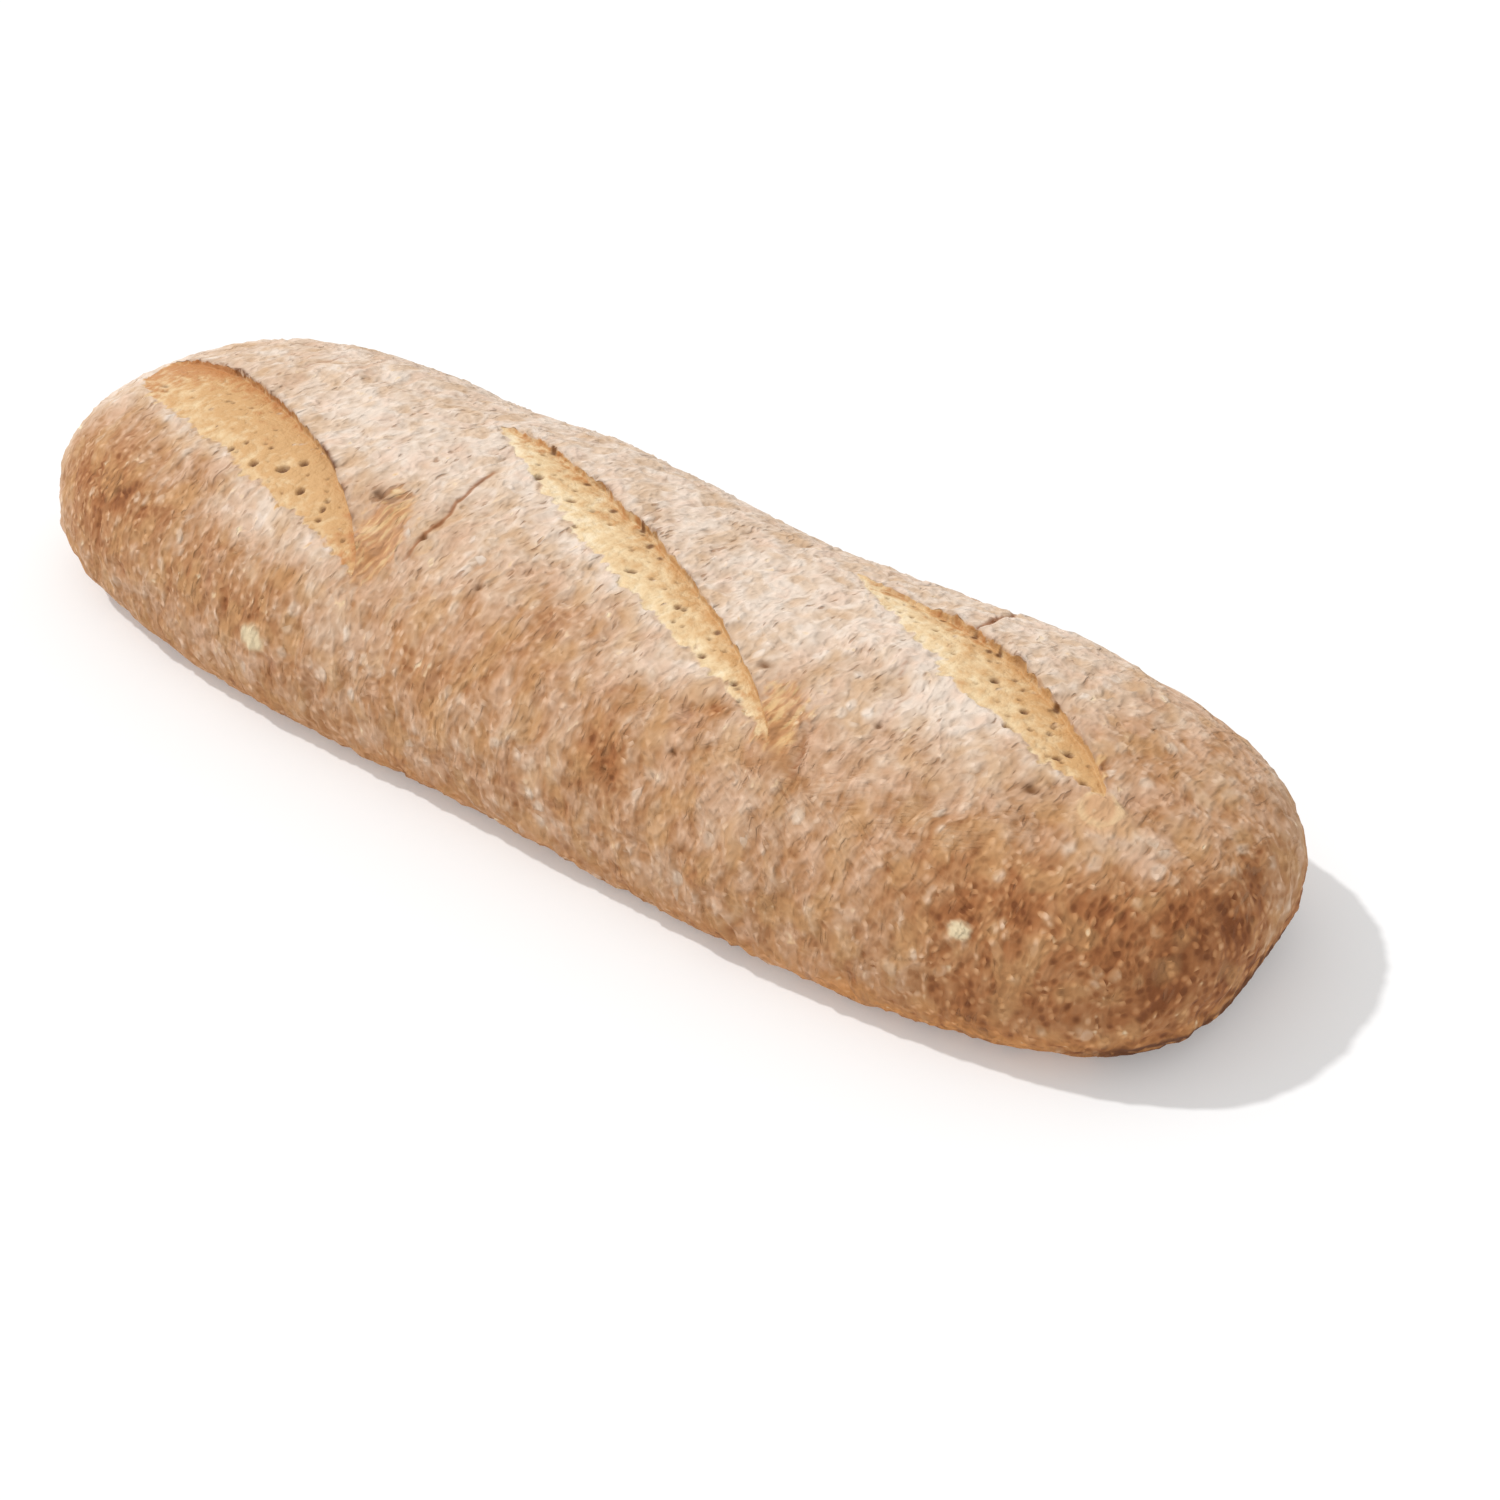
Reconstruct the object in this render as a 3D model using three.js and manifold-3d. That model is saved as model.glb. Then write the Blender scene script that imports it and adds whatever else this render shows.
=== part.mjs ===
// Rustic bread loaf: a long, low, tray-baked loaf with three slanted slashes.
// Millimetres. +X runs along the loaf, +Y across it, +Z up; the flat underside lies on z = 0.
// The crust is one closed surface. Each slash has opened into a shallow leaf-shaped scar of
// smooth risen dough, flush with the crust on its near side (-Y) and sunk below a raised
// crust lip on its far side (+Y).

import * as THREE from 'three';
import { mergeVertices } from 'three/addons/utils/BufferGeometryUtils.js';
import Module from 'manifold-3d';

// ---- Driving dimensions ----

const LOAF_LENGTH = 350;
const LOAF_WIDTH = 120;
const LOAF_HEIGHT = 55;
const BELLY_HEIGHT = 14.6; // height of the widest line of the loaf
const UNDERSIDE_REACH = 27.8; // how far below the belly the rounding would end if it were not flat
const CROWN_FULLNESS = 2.4; // exponent of the section above the belly, 2 is an ellipse
const FLANK_FULLNESS = 2.2; // exponent of the section below the belly
const END_SQUARENESS = 3.5; // exponent of the outline seen from above
const TAPER = 0.02; // how much narrower than the middle the +X end is, and wider the other
const BEND = 1.75; // how far both ends curve towards +Y

const CELLS_LONG = 56; // faces of the crust along, across and up
const CELLS_WIDE = 20;
const CELLS_HIGH = 9;

// Hollows of the outline: place along the loaf, place round the girth (0 far side, 90 crown,
// 180 near side, 270 underneath), reach along, reach round, and depth.
const HOLLOWS = [
  { x: -66, girth: 35, along: 26, round: 38, depth: 2.8 },
  { x: -8, girth: 35, along: 25, round: 38, depth: 1.5 },
  { x: 33, girth: 35, along: 34, round: 38, depth: 5.4 },
  { x: 74, girth: 35, along: 20, round: 38, depth: 2.0 },
  { x: -20, girth: 188, along: 40, round: 34, depth: 2.0 },
  { x: 50, girth: 188, along: 34, round: 34, depth: 1.8 },
  { x: 92, girth: 150, along: 9, round: 40, depth: 1.0 },
  { x: -28, girth: 140, along: 8, round: 30, depth: 0.9 },
  { x: 174, girth: 305, along: 6, round: 60, depth: 1.6 },
];
const UNEVENNESS = 0.45; // height of the slow waves over the whole crust

// Slashes, from the tip near the far side to the tip near the near side. The bows are the
// greatest distances of the lip and of the near edge from the straight line between the tips;
// a skew under 1 puts the widest place nearer the back tip.
const SLASHES = [
  {
    back: [-160, 2], front: [-44, -44], lipBow: 13.8, lipSkew: 0.95, nearBow: 9, nearSkew: 0.5, seed: 11,
  },
  {
    back: [-56, 20], front: [75, -38], lipBow: 10.6, lipSkew: 0.9, nearBow: 3.2, nearSkew: 0.7, seed: 23,
  },
  {
    back: [54, 18.5], front: [146, -18], lipBow: 15.4, lipSkew: 1.05, nearBow: 0.6, nearSkew: 1, seed: 37,
  },
];
const LIP_FULLNESS = 0.6; // exponent of the lip's arch, 1 is a plain sine
const LEAF_STEPS = 24; // points along each edge of a slash
const LIP_RAGGEDNESS = 0.7; // how far the torn lip wanders from its arch
const DOUGH_DROP_LIP = 3.2; // how far the dough lies below the crust along the lip
const DOUGH_DROP_NEAR = 0.25; // and along the near edge
const LIP_RISE = 1.3; // how far the torn crust curls up at the lip
const LIP_REACH = 9; // and how far from the lip it starts to rise
const PORES_PER_SLASH = 11;
const PORE_RADIUS = [0.7, 1.4]; // smallest and largest

// Cracks and wrinkles in the crust, each a narrow groove round part of the girth.
const CRACKS = [
  { x: [-38, -24], girth: [84, 163], sway: -2.5, width: 2.2, depth: 1.2 },
  { x: [90, 83], girth: [74, 34], sway: 0.8, width: 2.2, depth: 1.2 },
  { x: [78, 98], girth: [113, 180], sway: 0, width: 1.8, depth: 0.8 },
  { x: [85, 104], girth: [122, 176], sway: 0, width: 1.6, depth: 0.7 },
  { x: [75, 90], girth: [127, 176], sway: 0, width: 1.6, depth: 0.7 },
];
const CRACK_STEPS = 10;

const CRUST_COLOUR = 0xc79a70;

// ---- Helpers ----

const wasm = await Module();
wasm.setup();

// A closed three.js geometry as a solid that can be cut and joined.
function solidOf(geometry) {
  const bare = geometry.clone();
  bare.deleteAttribute('normal');
  bare.deleteAttribute('uv');
  const merged = mergeVertices(bare, 1e-4);
  return new wasm.Manifold(new wasm.Mesh({
    numProp: 3,
    vertProperties: new Float32Array(merged.attributes.position.array),
    triVerts: new Uint32Array(merged.index.array),
  }));
}

// A solid back as a three.js geometry.
function geometryOf(solid) {
  const mesh = solid.getMesh();
  const geometry = new THREE.BufferGeometry();
  geometry.setAttribute('position', new THREE.BufferAttribute(mesh.vertProperties, 3));
  geometry.setIndex(new THREE.BufferAttribute(mesh.triVerts, 1));
  geometry.computeVertexNormals();
  return geometry;
}

// A repeatable stream of numbers from 0 to 1.
function randomFrom(seed) {
  let state = seed;
  return () => {
    state = (state * 1664525 + 1013904223) % 4294967296;
    return state / 4294967296;
  };
}

const bell = (distance, reach) => Math.exp(-((distance / reach) ** 2));

// ---- The crust's plain form ----

const HALF_LENGTH = LOAF_LENGTH / 2;
const HALF_WIDTH = LOAF_WIDTH / 2;
const CROWN_REACH = LOAF_HEIGHT - BELLY_HEIGHT;

const reachOf = (up) => (up >= 0 ? CROWN_REACH : UNDERSIDE_REACH);
const fullnessOf = (up) => (up >= 0 ? CROWN_FULLNESS : FLANK_FULLNESS);

// The point of the crust in the direction of a point (p, q, r) of a cube from -1 to 1.
function crustAlong(p, q, r) {
  const n = fullnessOf(r);
  const section = (Math.abs(q) ** n + Math.abs(r) ** n) ** (END_SQUARENESS / n);
  const scale = (section + Math.abs(p) ** END_SQUARENESS) ** (-1 / END_SQUARENESS);
  return new THREE.Vector3(HALF_LENGTH * p, HALF_WIDTH * q, reachOf(r) * r).multiplyScalar(scale);
}

// The point of the crust at a place along the loaf and round its girth, in degrees.
function crustAt(x, girth) {
  const angle = THREE.MathUtils.degToRad(girth);
  const q = Math.cos(angle);
  const r = Math.sin(angle);
  const n = fullnessOf(r);
  const ring = (1 - Math.abs(x / HALF_LENGTH) ** END_SQUARENESS) ** (1 / END_SQUARENESS);
  const scale = ring * (Math.abs(q) ** n + Math.abs(r) ** n) ** (-1 / n);
  return new THREE.Vector3(x, HALF_WIDTH * q * scale, reachOf(r) * r * scale);
}

// The outward direction at a point of the plain form.
function outwardAt(point) {
  const n = fullnessOf(point.z);
  const q = Math.abs(point.y) / HALF_WIDTH;
  const r = Math.abs(point.z) / reachOf(point.z);
  const section = Math.max(q ** n + r ** n, 1e-9) ** (END_SQUARENESS / n - 1);
  const p = Math.abs(point.x) / HALF_LENGTH;
  return new THREE.Vector3(
    (Math.sign(point.x) * p ** (END_SQUARENESS - 1)) / HALF_LENGTH,
    (Math.sign(point.y) * section * q ** (n - 1)) / HALF_WIDTH,
    (Math.sign(point.z) * section * r ** (n - 1)) / reachOf(point.z),
  ).normalize();
}

// Place round the girth of a point of the plain form, in degrees.
function girthOf(point) {
  const up = point.z / reachOf(point.z);
  return THREE.MathUtils.radToDeg(Math.atan2(up, point.y / HALF_WIDTH));
}

// The shorter way round the girth from one place to another, in degrees.
const turnBetween = (from, to) => THREE.MathUtils.euclideanModulo(to - from + 180, 360) - 180;

// Hollows and slow waves, as a distance along the outward direction.
function swellAt(point) {
  const girth = girthOf(point);
  const hollow = HOLLOWS.reduce(
    (sum, h) => sum + h.depth * bell(point.x - h.x, h.along) * bell(turnBetween(h.girth, girth), h.round),
    0,
  );
  const wave = Math.sin(point.x / 19 + 1.1) * Math.cos(point.y / 14 - point.z / 17)
    + Math.sin(point.x / 11 - point.y / 16 + 0.4) * Math.cos(point.z / 12 + 2.0);
  return UNEVENNESS * wave - hollow;
}

// From the plain form to the loaf's own frame: narrowed, bent and stood on the table.
function settle(point) {
  const u = point.x / HALF_LENGTH;
  return new THREE.Vector3(
    point.x,
    point.y * (1 - TAPER * u) + BEND * u * u,
    point.z + BELLY_HEIGHT,
  );
}

// ---- Slashes ----

// A slash's own axes: s from 0 to 1 between the tips, and the distance towards the lip.
function slashAxes(slash) {
  const back = new THREE.Vector2(...slash.back);
  const front = new THREE.Vector2(...slash.front);
  const along = front.clone().sub(back);
  const length = along.length();
  along.normalize();
  return { back, along, length, lipward: new THREE.Vector2(-along.y, along.x) };
}

const arch = (s, skew) => Math.max(Math.sin(Math.PI * s ** skew), 0);
const lipArch = (slash, s) => arch(s, slash.lipSkew) ** LIP_FULLNESS;
const lipOffset = (slash, s) => slash.lipBow * lipArch(slash, s);
const nearOffset = (slash, s) => -slash.nearBow * arch(s, slash.nearSkew);

// Where a point lies in a slash: s, and v from 0 at the near edge to 1 at the lip.
function placeInSlash(slash, point) {
  const axes = slashAxes(slash);
  const offset = new THREE.Vector2(point.x, point.y).sub(axes.back);
  const s = THREE.MathUtils.clamp(offset.dot(axes.along) / axes.length, 0, 1);
  const lip = lipOffset(slash, s);
  const near = nearOffset(slash, s);
  const across = offset.dot(axes.lipward);
  return { s, beyondLip: across - lip, v: (across - near) / Math.max(lip - near, 1e-6) };
}

// The torn lip curls up, most in the middle of the slash.
function lipRiseAt(point) {
  return SLASHES.reduce((sum, slash) => {
    const place = placeInSlash(slash, point);
    const rise = LIP_RISE * lipArch(slash, place.s) * bell(Math.max(place.beyondLip, 0), LIP_REACH);
    return sum + (place.v > 0.4 ? rise : 0);
  }, 0);
}

// How far the risen dough lies below the crust.
function doughDropAt(point) {
  return SLASHES.reduce((drop, slash) => {
    const place = placeInSlash(slash, point);
    const v = THREE.MathUtils.clamp(place.v, 0, 1);
    const depth = (DOUGH_DROP_LIP - DOUGH_DROP_NEAR) * lipArch(slash, place.s);
    const own = DOUGH_DROP_NEAR + depth * v ** 1.6;
    const inside = place.v > -0.6 && place.v < 1.6 && place.s > 0 && place.s < 1;
    return inside ? own : drop;
  }, DOUGH_DROP_NEAR);
}

// The leaf-shaped outline of a slash, pushed through the crown as a prism.
function slashPrism(slash) {
  const axes = slashAxes(slash);
  const at = (s, across) => axes.back.clone()
    .addScaledVector(axes.along, s * axes.length)
    .addScaledVector(axes.lipward, across);
  const outline = [];
  for (let i = 0; i <= LEAF_STEPS; i += 1) {
    const s = i / LEAF_STEPS;
    outline.push(at(s, nearOffset(slash, s)));
  }
  for (let i = LEAF_STEPS - 1; i > 0; i -= 1) {
    const s = i / LEAF_STEPS;
    const ragged = LIP_RAGGEDNESS * Math.sin(2.4 * i + slash.seed) * Math.sin(1.1 * i + slash.seed);
    outline.push(at(s, lipOffset(slash, s) + ragged));
  }
  const prism = new THREE.ExtrudeGeometry(new THREE.Shape(outline), {
    depth: LOAF_HEIGHT,
    bevelEnabled: false,
  });
  return solidOf(prism.translate(0, 0, BELLY_HEIGHT + 5));
}

// Height of the risen dough over a place in plan.
function doughHeightOver(place) {
  const u = place.x / HALF_LENGTH;
  const plainY = (place.y - BEND * u * u) / (1 - TAPER * u);
  const ring = (1 - Math.abs(u) ** END_SQUARENESS) ** (CROWN_FULLNESS / END_SQUARENESS);
  const rise = Math.max(ring - Math.abs(plainY / HALF_WIDTH) ** CROWN_FULLNESS, 0) ** (1 / CROWN_FULLNESS);
  const plain = new THREE.Vector3(place.x, plainY, CROWN_REACH * rise);
  const settled = settle(plain);
  return settled.z + swellAt(plain) - doughDropAt(settled);
}

// Small burst bubbles in the dough, as round pits kept clear of the slash's edges.
function poresOf(slash) {
  const axes = slashAxes(slash);
  const random = randomFrom(slash.seed);
  const pores = [];
  for (let i = 0; i < PORES_PER_SLASH; i += 1) {
    const s = 0.2 + (0.66 * (i + 0.6 * random())) / PORES_PER_SLASH;
    const lip = lipOffset(slash, s);
    const near = nearOffset(slash, s);
    const across = near + (lip - near) * (0.25 + 0.5 * random());
    const radius = THREE.MathUtils.lerp(...PORE_RADIUS, random());
    const place = axes.back.clone()
      .addScaledVector(axes.along, s * axes.length)
      .addScaledVector(axes.lipward, across);
    const pit = new THREE.IcosahedronGeometry(radius, 0).rotateX(random()).rotateZ(random());
    pores.push(solidOf(pit.translate(place.x, place.y, doughHeightOver(place) + 0.1 * radius)));
  }
  return pores;
}

// ---- The loaf ----

// The closed surface of the crust, moved along its outward direction by an extra distance.
function loafSolid(extraAt) {
  const geometry = new THREE.BoxGeometry(2, 2, 2, CELLS_LONG, CELLS_WIDE, CELLS_HIGH);
  const position = geometry.attributes.position;
  for (let i = 0; i < position.count; i += 1) {
    const plain = crustAlong(position.getX(i), position.getY(i), position.getZ(i));
    const outward = outwardAt(plain);
    plain.addScaledVector(outward, swellAt(plain) + extraAt(settle(plain)));
    const settled = settle(plain);
    position.setXYZ(i, settled.x, settled.y, settled.z);
  }
  return solidOf(geometry);
}

// A groove along the crust: a thin three-sided prism sunk along a line round the girth.
function crackSolid(crack) {
  const line = [];
  for (let i = 0; i <= CRACK_STEPS; i += 1) {
    const t = i / CRACK_STEPS;
    const x = THREE.MathUtils.lerp(...crack.x, t) + crack.sway * Math.sin(Math.PI * t);
    const plain = crustAt(x, THREE.MathUtils.lerp(...crack.girth, t));
    plain.addScaledVector(outwardAt(plain), swellAt(plain));
    line.push(settle(plain));
  }
  const half = crack.width / 2;
  const diamond = new THREE.Shape([
    new THREE.Vector2(crack.depth, 0),
    new THREE.Vector2(0, half),
    new THREE.Vector2(-crack.depth, 0),
    new THREE.Vector2(0, -half),
  ]);
  const groove = new THREE.ExtrudeGeometry(diamond, {
    steps: CRACK_STEPS,
    extrudePath: new THREE.CatmullRomCurve3(line),
  });
  return solidOf(groove);
}

// Everything below the table, cut away to leave the flat underside.
function belowTable() {
  const block = new THREE.BoxGeometry(LOAF_LENGTH * 2, LOAF_WIDTH * 2, LOAF_HEIGHT);
  return solidOf(block.translate(0, 0, -LOAF_HEIGHT / 2));
}

function loafGeometry() {
  const crust = loafSolid(lipRiseAt);
  const dough = loafSolid((point) => -doughDropAt(point));
  let loaf = crust;
  for (const slash of SLASHES) {
    loaf = loaf.subtract(slashPrism(slash).subtract(dough));
    for (const pore of poresOf(slash)) {
      loaf = loaf.subtract(pore);
    }
  }
  for (const crack of CRACKS) {
    loaf = loaf.subtract(crackSolid(crack));
  }
  const geometry = geometryOf(loaf.subtract(belowTable()));
  geometry.computeBoundingBox();
  const middle = geometry.boundingBox.getCenter(new THREE.Vector3());
  return geometry.translate(-middle.x, -middle.y, -geometry.boundingBox.min.z);
}

const crustMaterial = new THREE.MeshStandardMaterial({
  color: CRUST_COLOUR,
  roughness: 0.85,
  metalness: 0,
});

const group = new THREE.Group();
const loaf = new THREE.Mesh(loafGeometry(), crustMaterial);
loaf.name = 'loaf';
group.add(loaf);

export default group;
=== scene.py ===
"""Rustic bread loaf: a long, low, tray-baked loaf, dusted with flour and slashed three times."""

import math

import bmesh
import bpy
import numpy as np
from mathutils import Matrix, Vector, noise


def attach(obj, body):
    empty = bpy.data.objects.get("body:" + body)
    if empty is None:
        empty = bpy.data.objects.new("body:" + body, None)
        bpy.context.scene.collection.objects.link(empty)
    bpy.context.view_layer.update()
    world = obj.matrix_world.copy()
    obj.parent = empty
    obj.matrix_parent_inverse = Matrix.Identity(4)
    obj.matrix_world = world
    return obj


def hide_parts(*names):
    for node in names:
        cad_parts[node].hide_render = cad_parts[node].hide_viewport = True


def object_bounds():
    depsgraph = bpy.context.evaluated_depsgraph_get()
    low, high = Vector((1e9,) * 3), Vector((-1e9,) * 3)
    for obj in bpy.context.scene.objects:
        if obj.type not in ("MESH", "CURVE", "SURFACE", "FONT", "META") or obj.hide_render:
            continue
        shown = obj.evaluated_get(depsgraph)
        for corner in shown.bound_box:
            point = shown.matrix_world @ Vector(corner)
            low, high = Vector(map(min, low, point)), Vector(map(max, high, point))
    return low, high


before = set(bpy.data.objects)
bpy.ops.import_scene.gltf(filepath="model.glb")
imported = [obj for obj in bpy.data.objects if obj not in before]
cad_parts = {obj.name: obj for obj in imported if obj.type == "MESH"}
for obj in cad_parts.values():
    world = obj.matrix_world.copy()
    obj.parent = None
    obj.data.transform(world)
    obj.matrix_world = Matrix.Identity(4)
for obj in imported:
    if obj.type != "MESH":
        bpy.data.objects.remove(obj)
cad_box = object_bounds()

# ---------------------------------------------------------------------------------------------
# Camera. It looks down on the loaf from its near side, with the slashes' back tips to the left,
# as in the photograph: about 0.6 m away and 37 degrees above the table.

AIM = Vector((0.0338, 0.0077, 0.0))
AZIMUTH = math.radians(38.3)
ELEVATION = math.radians(37.1)
DISTANCE = 0.604
SENSOR = 36.0
FOCAL_SHARE = 1.666  # focal length over the width of the frame

towards_camera = Vector((
    math.sin(AZIMUTH) * math.cos(ELEVATION),
    -math.cos(AZIMUTH) * math.cos(ELEVATION),
    math.sin(ELEVATION),
))
camera_data = bpy.data.cameras.new("camera")
camera_data.sensor_width = SENSOR
camera_data.lens = SENSOR * FOCAL_SHARE
camera = bpy.data.objects.new("camera", camera_data)
camera.location = AIM + DISTANCE * towards_camera
camera.rotation_euler = towards_camera.to_track_quat("Z", "Y").to_euler()
bpy.context.scene.collection.objects.link(camera)
bpy.context.scene.camera = camera

# ---------------------------------------------------------------------------------------------
# Dough form. The loaf is one piece of baked dough, proved long and low and baked on a flat tray:
# a rounded block, a little narrower at +X, flat underneath. All sizes here are in millimetres.

LOAF_LENGTH = 350
LOAF_WIDTH = 120
LOAF_HEIGHT = 55
BELLY_HEIGHT = 14.6
UNDERSIDE_REACH = 27.8
CROWN_FULLNESS = 2.4
FLANK_FULLNESS = 2.2
END_SQUARENESS = 3.5
TAPER = 0.02
BEND = 1.75
BASE_ROUNDING = 0.05  # how softly the flank turns into the flat underside
HOLLOWS = (
    {"x": -66, "girth": 35, "along": 26, "round": 38, "depth": 2.8},
    {"x": -8, "girth": 35, "along": 25, "round": 38, "depth": 1.5},
    {"x": 33, "girth": 35, "along": 34, "round": 38, "depth": 5.4},
    {"x": 74, "girth": 35, "along": 20, "round": 38, "depth": 2.0},
    {"x": -20, "girth": 188, "along": 40, "round": 34, "depth": 2.0},
    {"x": 50, "girth": 188, "along": 34, "round": 34, "depth": 1.8},
    {"x": 92, "girth": 150, "along": 9, "round": 40, "depth": 1.0},
    {"x": -28, "girth": 140, "along": 8, "round": 30, "depth": 0.9},
    {"x": 174, "girth": 305, "along": 6, "round": 60, "depth": 1.6},
)
SLOW_WAVES = 0.45  # the height of the waves, which are 70 to 120 mm long

HALF_LENGTH = LOAF_LENGTH / 2
HALF_WIDTH = LOAF_WIDTH / 2
CROWN_REACH = LOAF_HEIGHT - BELLY_HEIGHT


def section_of(up):
    """The exponent and the half sizes of the loaf's section above or below its belly."""
    fullness = np.where(up >= 0, CROWN_FULLNESS, FLANK_FULLNESS)
    reach = np.where(up >= 0, CROWN_REACH, UNDERSIDE_REACH)
    size = np.stack([np.full(len(up), HALF_LENGTH), np.full(len(up), HALF_WIDTH), reach], axis=1)
    return fullness, size


def plain_form(ways):
    """Where each way out of the loaf's middle leaves the plain form; ways are points of a cube."""
    fullness, size = section_of(ways[:, 2])
    ring = np.abs(ways[:, 1]) ** fullness + np.abs(ways[:, 2]) ** fullness
    whole = ring ** (END_SQUARENESS / fullness) + np.abs(ways[:, 0]) ** END_SQUARENESS
    return ways * size * whole[:, None] ** (-1 / END_SQUARENESS)


def outward_of(plain):
    """The outward direction at points of the plain form."""
    fullness, size = section_of(plain[:, 2])
    share = np.abs(plain) / size
    ring = np.maximum(share[:, 1] ** fullness + share[:, 2] ** fullness, 1e-9)
    lean = ring ** (END_SQUARENESS / fullness - 1)
    steep = np.stack([
        share[:, 0] ** (END_SQUARENESS - 1),
        lean * share[:, 1] ** (fullness - 1),
        lean * share[:, 2] ** (fullness - 1),
    ], axis=1) * np.sign(plain) / size
    return steep / np.linalg.norm(steep, axis=1)[:, None]


def girth_of(plain):
    """Place round the girth in degrees: 0 far side, 90 crown, 180 near side, 270 underneath."""
    _, size = section_of(plain[:, 2])
    return np.degrees(np.arctan2(plain[:, 2] / size[:, 2], plain[:, 1] / HALF_WIDTH)) % 360


def bell(distance, reach):
    """1 at no distance, fading to 0 beyond the reach."""
    return np.exp(-((distance / reach) ** 2))


def spot_at(x, girth, spot):
    """1 in the middle of a named spot of the crust, fading to 0 around it."""
    turn = (girth - spot["girth"] + 180) % 360 - 180
    return bell(x - spot["x"], spot["along"]) * bell(turn, spot["round"])


def swell_of(plain, girth):
    """Lobes, waists and slow waves of the dough, as a distance along the outward direction."""
    x, y, z = plain.T
    wave = np.sin(x / 19 + 1.1) * np.cos(y / 14 - z / 17)
    wave += np.sin(x / 11 - y / 16 + 0.4) * np.cos(z / 12 + 2.0)
    return SLOW_WAVES * wave - sum(hollow["depth"] * spot_at(x, girth, hollow) for hollow in HOLLOWS)


def settle(plain):
    """From the plain form to the table: narrowed towards +X, bent, and stood on its belly height."""
    u = plain[:, 0] / HALF_LENGTH
    return np.stack([
        plain[:, 0],
        plain[:, 1] * (1 - TAPER * u) + BEND * u * u,
        plain[:, 2] + BELLY_HEIGHT,
    ], axis=1)


def rest_on_tray(plain):
    """Flattens what would lie below the tray, by drawing it straight back to the loaf's middle."""
    below = np.maximum(-plain[:, 2] / BELLY_HEIGHT, 1e-6)
    soft = BASE_ROUNDING * np.logaddexp(0, (below - 1) / BASE_ROUNDING)
    return plain / (1 + soft * (below > 0.5))[:, None]


# ---------------------------------------------------------------------------------------------
# Slashes. Three slanted cuts, made with a blade before baking. Each has opened into a leaf of
# smooth, pale, risen dough: flush with the crust on its near side, and on its far side sunk
# under a torn, curled lip whose edge is painted dark: partly crust baked dark, partly painted
# shade in the gap under the lip. Past its front tip the skin tore into a short tail.
# back and front are the x and y of a slash's tips. s runs along it from back to front, and v
# across it from its near edge to its lip, both from 0 to 1. A pore is its s, v and radius.

SLASHES = (
    {"back": (-160, 2), "front": (-44, -44), "seed": 11,
     "lip_bow": 13.8, "lip_skew": 0.95, "near_bow": 11.5, "near_skew": 0.4,
     "bake": (0.9, 1.1), "glow": 0.8, "tips": (0.8, 0.7), "char_and_shade": 1.1,
     "tail": {"x": -45, "girth": 122, "along": 7, "round": 13, "lean": 0.25},
     "pores": ((0.5, 0.05, 0.9), (0.58, 0.18, 1.2), (0.64, 0.37, 1.6), (0.65, 0.64, 1.3),
               (0.73, 0.37, 1.3), (0.81, 0.46, 0.9), (0.83, 0.27, 0.8), (0.37, 0.69, 0.6),
               (0.53, 0.46, 0.6), (0.49, 0.66, 0.6))},
    {"back": (-56, 20), "front": (75, -38), "seed": 23,
     "lip_bow": 11.6, "lip_skew": 0.85, "near_bow": 4.6, "near_skew": 0.8,
     "bake": (0.3, 0.7), "glow": 0.38, "tips": (0.4, 0.5), "char_and_shade": 0.5,
     "tail": {"x": 73, "girth": 121, "along": 6, "round": 9, "lean": 0.3},
     "pores": ((0.21, 0.12, 1.3), (0.3, 0.3, 1.1), (0.25, 0.87, 1.1), (0.35, 0.84, 1.2),
               (0.48, 0.82, 1.2), (0.54, 0.28, 1.1), (0.66, 0.48, 0.9), (0.67, 0.57, 0.8),
               (0.52, 0.85, 0.8), (0.79, 0.23, 0.9), (0.87, 0.37, 0.9), (0.75, 0.8, 1.0),
               (0.13, 0.97, 1.3), (0.43, 0.96, 1.2))},
    {"back": (51, 25), "front": (141, -10), "seed": 37,
     "lip_bow": 10.2, "lip_skew": 1.1, "near_bow": 8.0, "near_skew": 1.2,
     "bake": (0.2, 1.0), "glow": 0.5, "tips": (0.3, 0.1), "char_and_shade": 0.5,
     "tail": {"x": 136, "girth": 95, "along": 2, "round": 5, "lean": 0.3},
     "pores": ((0.57, 0.53, 1.2), (0.46, 0.85, 1.0), (0.69, 0.46, 1.1), (0.85, 0.3, 0.9),
               (0.85, 0.57, 1.1), (0.71, 0.95, 1.2), (0.76, 0.68, 0.7), (0.94, 0.18, 0.8),
               (0.29, 0.87, 0.9), (0.39, 0.92, 1.0), (0.48, 0.93, 1.1), (0.72, 0.03, 1.1),
               (0.65, 0.59, 0.6))},
)
LIP_FULLNESS = 0.6
LIP_TEAR = 0.8
NEAR_FRAY = 2.2
DOUGH_DROP_LIP = 2.0
DOUGH_DROP_NEAR = 0.3
LIP_RISE = 1.1
LIP_REACH = 9
LIP_WALL = 0.9
LIP_OVERHANG = 0.8
OVERHANG_REACH = 3.0
DROP_CURVE = 1.6  # how late, on the way to the lip, the dough drops
SMALL_PORES = 26
PORE_DEPTH = 0.9  # as a share of the pore's radius
PORE_SIDES = (0.4, 1.25)  # where a pore's side starts and ends, as shares of its radius
PORES_FLATTEN = (0.7, 0.85)  # the v from which, and by which, the pores have no depth
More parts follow.
